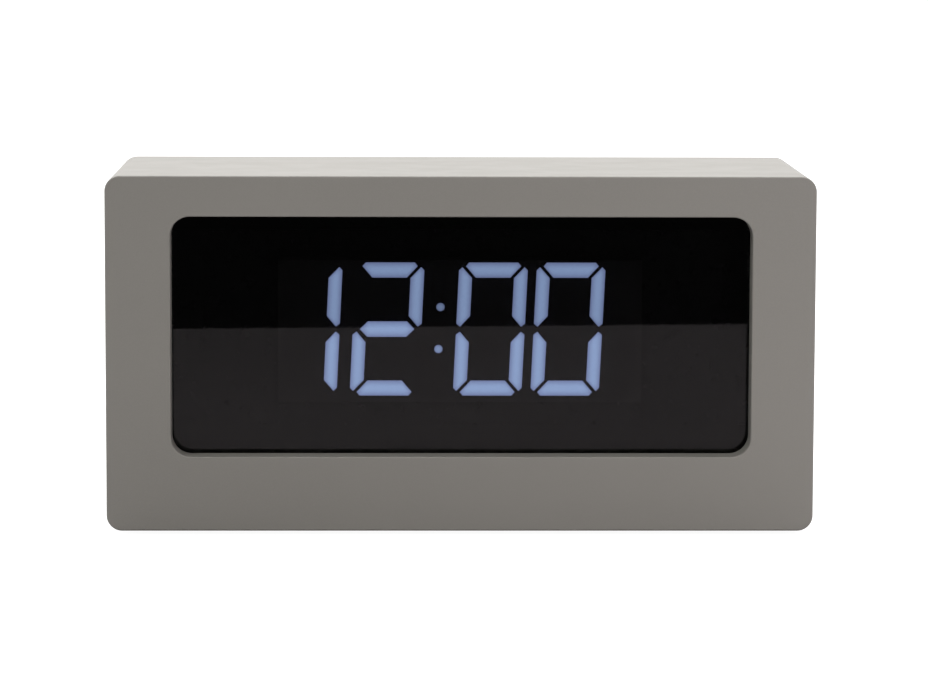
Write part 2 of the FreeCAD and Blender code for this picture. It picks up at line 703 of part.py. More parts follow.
def slide_switch_knob():
    stem = box(SWITCH_X - 1.2, SWITCH_X + 1.2, MAIN_BOARD_BACK + 1.6, COVER_INNER - 0.4,
               BUTTON_Z - 1.0, BUTTON_Z + 1.0)
    outer = COVER_OUTER + KNOB_PROUD
    half = KNOB_WIDTH / 2
    cap = box(SWITCH_X - half, SWITCH_X + half, COVER_INNER - 0.5, outer,
              BUTTON_Z - KNOB_HEIGHT / 2, BUTTON_Z + KNOB_HEIGHT / 2)
    cap = round_edges_at(cap, outer, 0.25)
    grooves = []
    for step in (-1, 0, 1):
        x = SWITCH_X + step * 0.8
        grooves.append(box(x - 0.17, x + 0.17, outer - 0.35, outer + 1, BUTTON_Z - 2, BUTTON_Z + 2))
    return cut(fuse([stem, cap]), grooves)


# ---- main circuit board and what it carries ------------------------------------------------

def main_board():
    strip = box(MAIN_BOARD_LEFT, MAIN_BOARD_RIGHT, MAIN_BOARD_Y, MAIN_BOARD_BACK,
                MAIN_BOARD_STEP_Z, MAIN_BOARD_TOP)
    block = box(MAIN_BOARD_STEP_X, MAIN_BOARD_RIGHT, MAIN_BOARD_Y, MAIN_BOARD_BACK,
                MAIN_BOARD_BOTTOM, MAIN_BOARD_TOP)
    holes = [rod_y(x, z, 1.5, MAIN_BOARD_Y - 1, MAIN_BOARD_BACK + 1) for x, z in MAIN_SCREWS]
    return cut(fuse([strip, block]), holes)


def main_screws():
    tip = MAIN_BOARD_BACK + 5
    return Part.makeCompound([screw(x, z, MAIN_BOARD_Y, tip, 2.4, 1.6) for x, z in MAIN_SCREWS])


def clock_chip():
    body = box(CHIP_X - 9, CHIP_X + 9, MAIN_BOARD_Y - 2.4, MAIN_BOARD_Y - 0.2, CHIP_Z - 3.7, CHIP_Z + 3.7)
    dimple = rod_y(CHIP_X - 7.6, CHIP_Z - 2.3, 0.6, MAIN_BOARD_Y - 3, MAIN_BOARD_Y - 2.25)
    return body.cut(dimple)


def chip_leads():
    """Gull-wing leads along both long sides of the clock chip."""
    leads = []
    for step in range(14):
        x = CHIP_X + (step - 6.5) * 1.27
        for side in (-1, 1):
            edge = CHIP_Z + side * 3.7
            out = edge + side * 0.7
            toe = edge + side * 1.4
            inner = out - side * 0.3
            bends = ((edge, out, -1.5, -1.2), (inner, out, -1.5, 0.0), (inner, toe, -0.3, 0.0))
            runs = []
            for za, zb, ya, yb in bends:
                runs.append(box(x - 0.2, x + 0.2, MAIN_BOARD_Y + ya, MAIN_BOARD_Y + yb,
                                min(za, zb), max(za, zb)))
            leads.append(fuse(runs))
    return Part.makeCompound(leads)


def crystal():
    """A cylindrical 32 kHz watch crystal lying on the board."""
    return fuse([rod_x(MAIN_BOARD_Y - 1.0, 21.6, 1.0, 36.0, 42.0),
                 rod_x(MAIN_BOARD_Y - 1.0, 21.2, 0.2, 42.0, 44.0),
                 rod_x(MAIN_BOARD_Y - 1.0, 22.0, 0.2, 42.0, 44.0)])


def electrolytic_capacitors():
    cans = []
    for x, z in ((51.0, 62.0), (43.0, 62.0), (52.0, 45.0)):
        can = rod_y(x, z, 3.15, MAIN_BOARD_Y - 8.0, MAIN_BOARD_Y)
        cans.append(round_edges_at(can, MAIN_BOARD_Y - 8.0, 0.4))
    return Part.makeCompound(cans)


def surface_resistors():
    chips = []
    for row in range(3):
        for column in range(6):
            x = -30.0 + column * 6.0
            z = 62.0 + row * 3.4
            chips.append(box(x - 1.0, x + 1.0, MAIN_BOARD_Y - 0.6, MAIN_BOARD_Y, z - 0.6, z + 0.6))
    return Part.makeCompound(chips)


def buzzer():
    can = rod_y(BUZZER_X, BUZZER_Z, BUZZER_RADIUS, MAIN_BOARD_BACK, MAIN_BOARD_BACK + BUZZER_HEIGHT)
    can = round_edges_at(can, MAIN_BOARD_BACK + BUZZER_HEIGHT, 0.4)
    return can.cut(rod_y(BUZZER_X, BUZZER_Z, 1.0, MAIN_BOARD_BACK + 3, MAIN_BOARD_BACK + BUZZER_HEIGHT + 1))


def inlet_shell():
    """The steel shell of the upright power inlet."""
    top = COVER_OUTER - 0.3
    outer = rounded_plate(INLET_WIDTH, INLET_HEIGHT, INLET_HEIGHT / 2 - 0.01, INLET_X, INLET_Z,
                          MAIN_BOARD_BACK, top)
    bore = rounded_plate(INLET_WIDTH - 2 * INLET_WALL, INLET_HEIGHT - 2 * INLET_WALL,
                         INLET_HEIGHT / 2 - INLET_WALL - 0.01, INLET_X, INLET_Z,
                         MAIN_BOARD_BACK + 1.5, top + 1)
    return outer.cut(bore)


def inlet_tongue():
    return rounded_plate(6.7, 0.7, 0.2, INLET_X, INLET_Z, MAIN_BOARD_BACK + 1.5, COVER_OUTER - 1.3)


def ribbon_sockets():
    half = RIBBON_WIDTH / 2 + 2
    sockets = []
    for y0 in (DISPLAY_BOARD_BACK, MAIN_BOARD_Y - SOCKET_HEIGHT):
        socket = box(RIBBON_X - half, RIBBON_X + half, y0, y0 + SOCKET_HEIGHT,
                     RIBBON_TOP - 1, RIBBON_TOP - 1 + SOCKET_TALL)
        middle = y0 + SOCKET_HEIGHT / 2
        mouth = box(RIBBON_X - RIBBON_WIDTH / 2 - 0.1, RIBBON_X + RIBBON_WIDTH / 2 + 0.1,
                    middle - RIBBON_THICKNESS / 2 - 0.05, middle + RIBBON_THICKNESS / 2 + 0.05,
                    RIBBON_TOP - 2, RIBBON_TOP + 1)
        sockets.append(socket.cut(mouth))
    return Part.makeCompound(sockets)


def display_ribbon():
    """A flat cable that hangs in a U from the display board's socket to the main board's."""
    near = DISPLAY_BOARD_BACK + SOCKET_HEIGHT / 2
    far = MAIN_BOARD_Y - SOCKET_HEIGHT / 2
    middle = (near + far) / 2
    x0 = RIBBON_X - RIBBON_WIDTH / 2

    def run(offset):
        radius = (far - near) / 2 + offset
        start = V(x0, middle - radius, RIBBON_BEND_Z)
        low = V(x0, middle, RIBBON_BEND_Z - radius)
        end = V(x0, middle + radius, RIBBON_BEND_Z)
        return start, low, end

    half = RIBBON_THICKNESS / 2
    outer = run(half)
    inner = run(-half)
    lift = V(0, 0, RIBBON_TOP - RIBBON_BEND_Z)
    edges = [Part.makeLine(outer[0] + lift, outer[0]),
             Part.Arc(*outer).toShape(),
             Part.makeLine(outer[2], outer[2] + lift),
             Part.makeLine(outer[2] + lift, inner[2] + lift),
             Part.makeLine(inner[2] + lift, inner[2]),
             Part.Arc(inner[2], inner[1], inner[0]).toShape(),
             Part.makeLine(inner[0], inner[0] + lift),
             Part.makeLine(inner[0] + lift, outer[0] + lift)]
    return Part.Face(Part.Wire(edges)).extrude(V(RIBBON_WIDTH, 0, 0))


# ---- battery bay ---------------------------------------------------------------------------

def cell_ends(index):
    """The X of a cell's nub tip and of its flat end."""
    if CELL_DIRECTIONS[index] > 0:
        tip = BAY_RIGHT - CONTACT_THICKNESS
        return tip, tip - CELL_LENGTH
    tip = BAY_LEFT + CONTACT_THICKNESS
    return tip, tip + CELL_LENGTH


def cell_sleeves():
    sleeves = []
    for index, z in enumerate(CELL_Z):
        tip, flat = cell_ends(index)
        way = CELL_DIRECTIONS[index]
        start = flat + way * 0.5
        shoulder = tip - way * (CELL_NUB_LENGTH + 0.3)
        sleeve = rod_x(CELL_Y, z, CELL_RADIUS, min(start, shoulder), max(start, shoulder))
        rims = [edge for edge in sleeve.Edges if edge.BoundBox.XLength < 1e-4]
        sleeves.append(sleeve.makeFillet(0.3, rims))
    return Part.makeCompound(sleeves)


def cell_terminals():
    """The bare metal nub and flat end of each cell."""
    ends = []
    for index, z in enumerate(CELL_Z):
        tip, flat = cell_ends(index)
        way = CELL_DIRECTIONS[index]
        shoulder = tip - way * (CELL_NUB_LENGTH + 0.3)
        collar = tip - way * CELL_NUB_LENGTH
        nub = fuse([rod_x(CELL_Y, z, CELL_NUB_RADIUS, min(collar, tip), max(collar, tip)),
                    rod_x(CELL_Y, z, CELL_RADIUS - 0.9, min(shoulder, collar), max(shoulder, collar))])
        ends.append(nub)
        start = flat + way * 0.5
        ends.append(rod_x(CELL_Y, z, CELL_RADIUS - 0.7, min(flat, start), max(flat, start)))
    return Part.makeCompound(ends)


def contact_plate(x0, z0, z1):
    return box(x0, x0 + CONTACT_THICKNESS, CELL_Y - CONTACT_HALF, CELL_Y + CONTACT_HALF,
               z0 - CONTACT_HALF, z1 + CONTACT_HALF)


def solder_tail(x0, x1, z):
    half = CONTACT_THICKNESS / 2
    return box(x0, x1, CELL_Y - half, CELL_Y + half, z - TAIL_HALF, z + TAIL_HALF)


def battery_plates():
    """Two plates at each end: a single one with a solder tail, and one that joins two cells."""
    low, middle, high = CELL_Z
    left = BAY_LEFT
    right = BAY_RIGHT - CONTACT_THICKNESS
    left_single = fuse([contact_plate(left, high, high), solder_tail(left - TAIL_REACH, left + 0.2, high)])
    right_single = fuse([contact_plate(right, low, low),
                         solder_tail(BAY_RIGHT - 0.2, BAY_RIGHT + TAIL_REACH, low)])
    return Part.makeCompound([left_single, right_single,
                              contact_plate(left, low, middle), contact_plate(right, middle, high)])


def battery_springs():
    """A tapered coil spring at the flat end of each cell."""
    wire = 0.6
    springs = []
    for index, z in enumerate(CELL_Z):
        tip, flat = cell_ends(index)
        way = CELL_DIRECTIONS[index]
        plate = BAY_LEFT + CONTACT_THICKNESS if way > 0 else BAY_RIGHT - CONTACT_THICKNESS
        length = abs(flat - plate) - wire - 0.04
        taper = math.degrees(math.atan(1.6 / length))
        helix = Part.makeHelix(length / 5, length, 2.0, taper)
        start = helix.Vertexes[0].Point
        profile = Part.Wire(Part.makeCircle(wire / 2, start, V(0, 1, 0)))
        coil = helix.makePipeShell([profile], True, True)
        coil.rotate(V(0, 0, 0), V(0, 1, 0), -90 * way)
        coil.translate(V(flat - way * (wire / 2 + 0.02), CELL_Y, z))
        springs.append(coil)
    return Part.makeCompound(springs)


def battery_door():
    plate = box(DOOR_LEFT, DOOR_RIGHT, DOOR_SEAT + 0.1, COVER_OUTER,
                BAY_MIDDLE_Z - DOOR_HALF_HEIGHT, BAY_MIDDLE_Z + DOOR_HALF_HEIGHT)
    corners = [edge for edge in plate.Edges if edge.BoundBox.YLength > DOOR_THICKNESS * 0.9]
    plate = plate.makeFillet(0.8, corners)
    plate = round_edges_at(plate, COVER_OUTER, 0.3)
    hooks = []
    for start in HOOK_STARTS:
        for side in (-1, 1):
            edge = BAY_MIDDLE_Z + side * DOOR_HALF_HEIGHT
            low = min(edge - side * 0.5, edge + side * HOOK_REACH)
            high = max(edge - side * 0.5, edge + side * HOOK_REACH)
            hooks.append(box(start, start + HOOK_LENGTH, DOOR_SEAT + 0.1, DOOR_SEAT + 0.1 + HOOK_THICKNESS,
                             low, high))
    door = fuse([plate] + hooks)
    depth = 0.4
    grooves = []
    for step in range(6):
        x = DOOR_RIGHT - 4.0 - step * 1.6
        grooves.append(box(x - 0.35, x + 0.35, COVER_OUTER - depth, COVER_OUTER + 1,
                           BAY_MIDDLE_Z - 7.0, BAY_MIDDLE_Z + 7.0))
    tip = DOOR_RIGHT - 15.0
    tail = tip - 4.0
    arrow = polygon_plate([(tip, BAY_MIDDLE_Z), (tail, BAY_MIDDLE_Z + 2.6), (tail, BAY_MIDDLE_Z - 2.6)],
                          COVER_OUTER - depth, COVER_OUTER + 1)
    return cut(door, grooves + [arrow])


# ---- battery wires -------------------------------------------------------------------------

RED_ROUTE = [V(-9.2, TAIL_Y, CELL_Z[0]), V(-9.2, MAIN_BOARD_Y - 2.5, CELL_Z[0]),
             V(-4.5, MAIN_BOARD_Y - 6.0, 22.0), V(2.0, MAIN_BOARD_Y - 7.0, 25.5),
             V(8.5, MAIN_BOARD_Y - 5.5, 30.0), V(10.5, MAIN_BOARD_Y - 3.2, 32.0),
             V(10.5, MAIN_BOARD_Y, 32.0)]
BLACK_ROUTE = [V(-66.9, TAIL_Y, CELL_Z[2]), V(-66.9, MAIN_BOARD_Y - 2.5, CELL_Z[2]),
               V(-67.1, MAIN_BOARD_Y - 5.6, 48.0), V(-62.0, MAIN_BOARD_Y - 7.0, 54.5),
               V(-51.5, MAIN_BOARD_Y - 7.2, 58.5), V(-41.5, MAIN_BOARD_Y - 6.0, 62.5),
               V(-37.0, MAIN_BOARD_Y - 3.6, 65.5), V(-37.0, MAIN_BOARD_Y, 65.5)]


def bend_radius(before, corner, after):
    first = corner - before
    second = after - corner
    turn = first.getAngle(second)
    return 0.45 * min(first.Length, second.Length) / math.tan(turn / 2), turn


def wire_tube(name, route):
    """A round wire along straight runs joined by tangent arcs."""
    edges = []
    start = route[0]
    for before, corner, after in zip(route, route[1:], route[2:]):
        radius, turn = bend_radius(before, corner, after)
        reach = radius * math.tan(turn / 2)
        back = (before - corner).normalize()
        onward = (after - corner).normalize()
        entry = corner + back * reach
        leaving = corner + onward * reach
        bisector = (back + onward).normalize()
        apex = corner + bisector * (radius / math.cos(turn / 2) - radius)
        edges.append(Part.makeLine(start, entry))
        edges.append(Part.Arc(entry, apex, leaving).toShape())
        start = leaving
        print(name, "bend radius", round(radius, 1))
    edges.append(Part.makeLine(start, route[-1]))
    path = Part.Wire(edges)
    direction = route[1] - route[0]
    profile = Part.Wire(Part.makeCircle(WIRE_DIAMETER / 2, route[0], direction))
    tube = path.makePipeShell([profile], True, False)
    expected = math.pi * (WIRE_DIAMETER / 2) ** 2 * path.Length
    print(name, "volume over section times length", round(tube.Volume / expected, 3))
    return tube


# ---- all the nodes -------------------------------------------------------------------------

def all_nodes():
    nodes = {
        "case_shell": case_shell(),
        "window_lens": window_lens(),
        "lens_tape": lens_tape(),
        "rubber_feet": rubber_feet(),
        "rear_cover": rear_cover(),
        "cover_screws": cover_screws(),
        "display_housing": display_housing(),
        "display_pcb": display_board(),
        "display_leds": display_leds(),
        "display_screws": display_screws(),
        "colon_dots": colon_dots(),
        "indicator_dots": indicator_dots(),
        "unlit_segments": unlit_segments(),
        "main_pcb": main_board(),
        "main_pcb_screws": main_screws(),
        "clock_chip": clock_chip(),
        "chip_leads": chip_leads(),
        "crystal": crystal(),
        "electrolytic_capacitors": electrolytic_capacitors(),
        "surface_resistors": surface_resistors(),
        "buzzer": buzzer(),
        "inlet_shell": inlet_shell(),
        "inlet_tongue": inlet_tongue(),
        "ribbon_sockets": ribbon_sockets(),
        "display_ribbon": display_ribbon(),
        "tact_switches": tact_switches(),
        "slide_switch_body": slide_switch_body(),
        "slide_switch_knob": slide_switch_knob(),
        "cell_sleeves": cell_sleeves(),
        "cell_terminals": cell_terminals(),
        "battery_plates": battery_plates(),
        "battery_springs": battery_springs(),
        "battery_door": battery_door(),
        "wire_red": wire_tube("wire_red", RED_ROUTE),
        "wire_black": wire_tube("wire_black", BLACK_ROUTE),
    }
    for digit in range(len(DIGIT_X)):
        nodes["digit_%d_lit" % (digit + 1)] = lit_digit(digit)
    for name, x in BUTTONS:
        nodes["button_" + name] = button_cap(name, x)
        nodes["plunger_" + name] = button_plunger(x)
    return nodes


def main():
    os.makedirs("parts", exist_ok=True)
    for name, shape in all_nodes().items():
        if not shape.isValid():
            raise ValueError(name + " is not a valid shape")
        shape.exportStep(os.path.join("parts", name + ".step"))
        print(name, "solids", len(shape.Solids), "volume", round(shape.Volume, 2))


main()
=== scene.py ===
import json
import math
import bmesh
import bpy
from mathutils import Euler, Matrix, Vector


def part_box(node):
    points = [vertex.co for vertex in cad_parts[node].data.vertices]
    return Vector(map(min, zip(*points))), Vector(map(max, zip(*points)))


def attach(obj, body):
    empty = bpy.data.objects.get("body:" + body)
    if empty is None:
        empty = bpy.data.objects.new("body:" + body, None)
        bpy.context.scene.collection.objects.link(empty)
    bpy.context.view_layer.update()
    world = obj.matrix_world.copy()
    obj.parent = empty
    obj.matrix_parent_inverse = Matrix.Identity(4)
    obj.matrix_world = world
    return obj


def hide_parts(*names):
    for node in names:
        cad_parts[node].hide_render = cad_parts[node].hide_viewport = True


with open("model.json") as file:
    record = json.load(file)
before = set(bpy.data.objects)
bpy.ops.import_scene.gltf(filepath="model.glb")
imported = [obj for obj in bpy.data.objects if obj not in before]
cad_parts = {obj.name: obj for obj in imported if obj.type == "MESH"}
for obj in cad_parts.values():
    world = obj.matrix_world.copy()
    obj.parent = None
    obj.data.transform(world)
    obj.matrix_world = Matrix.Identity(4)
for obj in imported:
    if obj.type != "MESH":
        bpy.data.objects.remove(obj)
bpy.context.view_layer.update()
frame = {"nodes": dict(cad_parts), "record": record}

MM = 0.001
WHITE = (1.0, 1.0, 1.0)

# ---- camera --------------------------------------------------------------------------------

# Fitted to the case's outline in the photo. The place is in metres, the angles are in degrees,
# and the lens and the sensor's width are in millimetres.
CAMERA_PLACE = (-0.0167, -0.9239, 0.1469)
CAMERA_PITCH = 6.689
CAMERA_YAW = 1.12
CAMERA_ROLL = 0.182
CAMERA_LENS = 154.6
CAMERA_SENSOR = 36.0


def make_camera():
    data = bpy.data.cameras.new("camera")
    data.lens = CAMERA_LENS
    data.sensor_width = CAMERA_SENSOR
    camera = bpy.data.objects.new("camera", data)
    camera.location = CAMERA_PLACE
    tilt = Euler((math.radians(90 - CAMERA_PITCH), 0, 0)).to_matrix()
    yaw = Euler((0, 0, math.radians(-CAMERA_YAW))).to_matrix()
    roll = Euler((0, 0, math.radians(CAMERA_ROLL))).to_matrix()
    camera.rotation_euler = (yaw @ tilt @ roll).to_euler()
    bpy.context.scene.collection.objects.link(camera)
    bpy.context.scene.camera = camera


# ---- node helpers --------------------------------------------------------------------------

# Parts of the noise's range, which lies mostly about its middle.
WIDE = (0.3, 0.7)
NARROW = (0.35, 0.65)

# The dot product of the true and the rounded normal, where an edge begins and where it is full.
EDGE_BEGINS, EDGE_FULL = 0.995, 0.80
BEVEL_SAMPLES = 6


def scaled(colour, factor):
    return tuple(c * factor for c in colour)


class Tree:
    """The node tree of a material or a world."""

    def __init__(self, owner):
        owner.use_nodes = True
        self.nodes = owner.node_tree.nodes
        self.links = owner.node_tree.links
        self.nodes.clear()

    def feed(self, socket, value):
        """Links an output to the input, or sets the input to a number, vector or colour."""
        if isinstance(value, bpy.types.NodeSocket):
            self.links.new(value, socket)
        elif socket.type == "RGBA":
            socket.default_value = (*value, 1.0)
        else:
            socket.default_value = value

    def node(self, kind, inputs=None, **settings):
        """Adds a node with these settings, and feeds its inputs, given by name or number."""
        made = self.nodes.new(kind)
        for key, value in settings.items():
            setattr(made, key, value)
        for key, value in (inputs or {}).items():
            self.feed(made.inputs[key], value)
        return made

    def along(self, axis, vector):
        """One coordinate of a vector."""
        return self.node("ShaderNodeSeparateXYZ", {"Vector": vector}).outputs[axis]

    def ramp(self, value, low, high, start=0.0, end=1.0, shape="SMOOTHSTEP"):
        """Maps value from low..high to start..end, clamped."""
        inputs = {"Value": value, "From Min": low, "From Max": high, "To Min": start, "To Max": end}
        return self.node("ShaderNodeMapRange", inputs, interpolation_type=shape).outputs["Result"]

    def choose(self, factor, first, second):
        """The first shader where factor is 0, and the second where it is 1."""
        return self.node("ShaderNodeMixShader", {"Fac": factor, 1: first, 2: second}).outputs["Shader"]


class Shader(Tree):
    """One material, with short calls for the nodes that the finishes below share."""

    def __init__(self, name):
        self.material = bpy.data.materials.new(name)
        super().__init__(self.material)
        self.output = self.node("ShaderNodeOutputMaterial")
        coordinates = self.node("ShaderNodeTexCoord")
        self.place = coordinates.outputs["Object"]
        self.facing = coordinates.outputs["Normal"]

    def mapped(self, **change):
        """The object's coordinates, scaled or turned."""
        return self.node("ShaderNodeMapping", {"Vector": self.place, **change}).outputs["Vector"]

    def noise(self, size, detail=3.0, rough=0.55, stretch=None):
        """Soft noise from 0 to 1. size is its feature size in metres."""
        place = self.mapped(Scale=stretch) if stretch else self.place
        inputs = {"Vector": place, "Scale": 1 / size, "Detail": detail, "Roughness": rough}
        return self.node("ShaderNodeTexNoise", inputs).outputs["Fac"]

    def patches(self, size, start=0.0, end=1.0, spread=WIDE, **noise):
        """Noise that runs from start to end over the spread of its range."""
        return self.ramp(self.noise(size, **noise), *spread, start, end)

    def cells(self, size):
        """The distance from the nearest of many scattered points."""
        made = self.node("ShaderNodeTexVoronoi", {"Vector": self.place, "Scale": 1 / size})
        return made.outputs["Distance"]

    def waves(self, length):
        """A sine along X."""
        turns = self.math("MULTIPLY", self.along("X", self.place), 2 * math.pi / length)
        return self.math("SINE", turns)

    def math(self, operation, *values):
        return self.node("ShaderNodeMath", dict(enumerate(values)), operation=operation).outputs["Value"]

    def mix(self, factor, first, second):
        """The first colour where factor is 0, and the second where it is 1."""
        made = self.node("ShaderNodeMix", {"Factor": factor}, data_type="RGBA")
        sockets = {socket.identifier: socket for socket in (*made.inputs, *made.outputs)}
        self.feed(sockets["A_Color"], first)
        self.feed(sockets["B_Color"], second)
        return sockets["Result_Color"]

    def toned(self, colour, change, size, spread=NARROW, **noise):
        """The colour, drifting darker and lighter by the given share."""
        drift = self.patches(size, spread=spread, **noise)
        return self.mix(drift, scaled(colour, 1 - change), scaled(colour, 1 + change))

    def edges(self, radius):
        """1 along sharp and rounded edges, 0 on flat faces."""
        rounded = self.node("ShaderNodeBevel", {"Radius": radius}, samples=BEVEL_SAMPLES).outputs["Normal"]
        plain = self.node("ShaderNodeNewGeometry").outputs["Normal"]
        dot = self.node("ShaderNodeVectorMath", {0: rounded, 1: plain}, operation="DOT_PRODUCT")
        return self.ramp(dot.outputs["Value"], EDGE_BEGINS, EDGE_FULL)

    def rubbed(self, radius, size, least=0.4, spread=WIDE):
        """Wear along the edges, in patches. least is its share between the patches."""
        return self.math("MULTIPLY", self.edges(radius), self.patches(size, least, spread=spread))

    def worn(self, toned, colour, rubbed, wear, lighter):
        """The toned colour, going over to a lighter one where it is rubbed."""
        return self.mix(self.math("MULTIPLY", rubbed, wear), toned, scaled(colour, lighter))

    def bump(self, height, depth, under=None):
        """A normal from a height of 0 to 1 that stands for depth in metres, over another normal."""
        made = self.node("ShaderNodeBump", {"Height": height, "Distance": depth, "Strength": 1.0})
        if under:
            self.feed(made.inputs["Normal"], under)
        return made.outputs["Normal"]

    def principled(self, colour, roughness, normal, **values):
        inputs = {key.replace("_", " "): value for key, value in values.items()}
        inputs.update({"Base Color": colour, "Roughness": roughness, "Normal": normal})
        made = self.node("ShaderNodeBsdfPrincipled", inputs)
        self.feed(self.output.inputs["Surface"], made.outputs["BSDF"])
        return made


# ---- finishes ------------------------------------------------------------------------------

WARM_GREY = (0.23, 0.213, 0.19)
CASE_GREY = (0.277, 0.2695, 0.246)

# The paint in the caps' symbols: its colour, the depths below the face over which it comes in and goes
# out, in metres, and how squarely a surface faces the back to begin to take it and to take it fully.
SYMBOL_PAINT = (0.72, 0.71, 0.68)
PAINT_COMES = (0.06 * MM, 0.12 * MM)
PAINT_GOES = (0.7 * MM, 0.9 * MM)
PAINT_FACING = (0.97, 0.99)

# The smoked window: what its tint lets through, the colour of its gloss, and how strongly it mirrors.
SMOKE_TINT = (0.36, 0.36, 0.37)
COATING = (1.0, 0.985, 0.97)
COATING_IOR = 1.32

# The lit resin: its own colour, and its light at the rim and along the spine.
RESIN = (0.35, 0.38, 0.45)
RIM_LIGHT = (0.88, 1.09, 1.93)
SPINE_LIGHT = (1.55, 2.145, 3.34)

# Moulded plastics: colour, roughness, size and depth of the grain in millimetres, other settings.
MOULDED = {
    "cover_plastic": ((0.046, 0.044, 0.042), 0.55, 0.32, 0.03, {}),
    "knob_plastic": (WARM_GREY, 0.45, 0.2, 0.008, {"edge": 0.2 * MM}),
    "foam_tape": ((0.02, 0.02, 0.02), 0.85, 0.2, 0.03, {"wear": 0.0}),
    "reflector_plastic": ((0.13, 0.12, 0.115), 0.6, 0.3, 0.01, {}),
    "led_chips": ((0.75, 0.72, 0.5), 0.3, 0.2, 0.005, {}),
    "unlit_segments": ((0.125, 0.12, 0.12), 0.45, 0.3, 0.006, {}),
    "chip_epoxy": ((0.02, 0.02, 0.021), 0.5, 0.12, 0.01, {}),
    "resistor_ceramic": ((0.03, 0.03, 0.032), 0.4, 0.1, 0.004, {}),
    "buzzer_plastic": ((0.016, 0.016, 0.016), 0.45, 0.2, 0.01, {}),
    "inlet_plastic": ((0.012, 0.012, 0.012), 0.4, 0.1, 0.004, {}),
    "socket_plastic": ((0.68, 0.64, 0.52), 0.45, 0.2, 0.006, {}),
    "tact_plastic": ((0.03, 0.03, 0.03), 0.45, 0.15, 0.006, {}),
    "plunger_plastic": ((0.016, 0.016, 0.016), 0.4, 0.15, 0.004, {}),
    "wire_red": ((0.42, 0.018, 0.015), 0.35, 0.4, 0.004, {"wear": 0.1}),
    "wire_black": ((0.015, 0.015, 0.015), 0.35, 0.4, 0.004, {"wear": 0.1}),
}

# Metals: colour, roughness, other settings.
METALS = {
    "screw_steel": ((0.20, 0.195, 0.19), 0.32, {"tarnish": 0.4}),
    "tinned_leads": ((0.68, 0.68, 0.66), 0.3, {}),
    "crystal_can": ((0.66, 0.65, 0.62), 0.2, {"brushed": True}),
    "inlet_steel": ((0.62, 0.62, 0.61), 0.22, {"brushed": True}),
    "switch_steel": ((0.6, 0.6, 0.59), 0.28, {"brushed": True}),
    "cell_steel": ((0.7, 0.7, 0.69), 0.25, {}),
    "contact_plate": ((0.66, 0.65, 0.6), 0.25, {"brushed": True}),
    "spring_steel": ((0.6, 0.6, 0.58), 0.25, {}),
}

# Circuit boards: the colours of the solder mask and of the tracks under it.
BOARDS = {
    "board_black": ((0.006, 0.007, 0.007), (0.012, 0.013, 0.013)),
    "board_green": ((0.012, 0.10, 0.035), (0.05, 0.20, 0.07)),
}

# Printed sleeves: the colours of the sleeve and of its band.
SLEEVES = {
    "capacitor_sleeve": ((0.02, 0.03, 0.08), (0.4, 0.42, 0.45)),
    "cell_sleeve": ((0.03, 0.10, 0.26), (0.55, 0.55, 0.52)),
}


def moulded(name, colour, rough, grain, depth, wear=0.25, edge=0.3 * MM):
    """Moulded plastic: slight tone drift, spark-eroded grain and edges rubbed a little lighter."""
    s = Shader(name)
    toned = s.toned(colour, change=0.06, size=18 * MM, detail=4.0)
    rubbed = s.rubbed(edge, size=3 * MM)
    worn = s.worn(toned, colour, rubbed, wear, lighter=1.7)
    dull = s.patches(6 * MM, rough - 0.05, rough + 0.05)
    roughness = s.math("ADD", dull, s.math("MULTIPLY", rubbed, -0.08))
    s.principled(worn, roughness, s.bump(s.noise(grain, detail=2.0, rough=0.6), depth))
    return s.material


def button_caps(colour):
    """Satin caps. The floors of their sunk symbols are filled with off-white paint."""
    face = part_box("button_time")[1].y
    s = Shader("button_plastic")
    toned = s.toned(colour, change=0.04, size=4 * MM)
    rubbed = s.rubbed(radius=0.2 * MM, size=1.2 * MM)
    worn = s.worn(toned, colour, rubbed, wear=0.3, lighter=1.6)
    depth = s.along("Y", s.place)
    sunk = s.ramp(depth, face - PAINT_COMES[0], face - PAINT_COMES[1])
    near_face = s.ramp(depth, face - PAINT_GOES[1], face - PAINT_GOES[0])
    flat = s.ramp(s.along("Y", s.facing), *PAINT_FACING)
    painted = s.math("MULTIPLY", s.math("MULTIPLY", sunk, flat), near_face)
    speck = s.patches(0.3 * MM, 0.85, 1.0)
    inked = s.mix(s.math("MULTIPLY", painted, speck), worn, SYMBOL_PAINT)
    roughness = s.patches(2 * MM, 0.38, 0.48)
    s.principled(inked, roughness, s.bump(s.noise(0.2 * MM), 0.006 * MM))
    return s.material


def soft_paint(colour):
    """The case's warm grey lacquer: even, matt, with a trace of orange peel and pigment."""
    s = Shader("case_finish")
    toned = s.toned(colour, change=0.025, size=55 * MM, spread=WIDE)
    fleck = s.patches(0.22 * MM, spread=NARROW, detail=2.0, rough=0.7)
    pigmented = s.mix(s.math("MULTIPLY", fleck, 0.5), toned, scaled(colour, 1.06))
    rubbed = s.rubbed(radius=0.5 * MM, size=2.5 * MM, least=0.25, spread=(0.35, 0.7))
    worn = s.worn(pigmented, colour, rubbed, wear=0.18, lighter=1.5)
    dull = s.patches(12 * MM, 0.47, 0.55, detail=4.0)
    roughness = s.math("ADD", dull, s.math("MULTIPLY", rubbed, -0.06))
    peel = s.bump(s.noise(0.9 * MM, detail=2.0), 0.010 * MM)
    grain = s.bump(s.noise(0.16 * MM, detail=2.0, rough=0.65), 0.006 * MM, under=peel)
    s.principled(worn, roughness, grain)
    return s.material


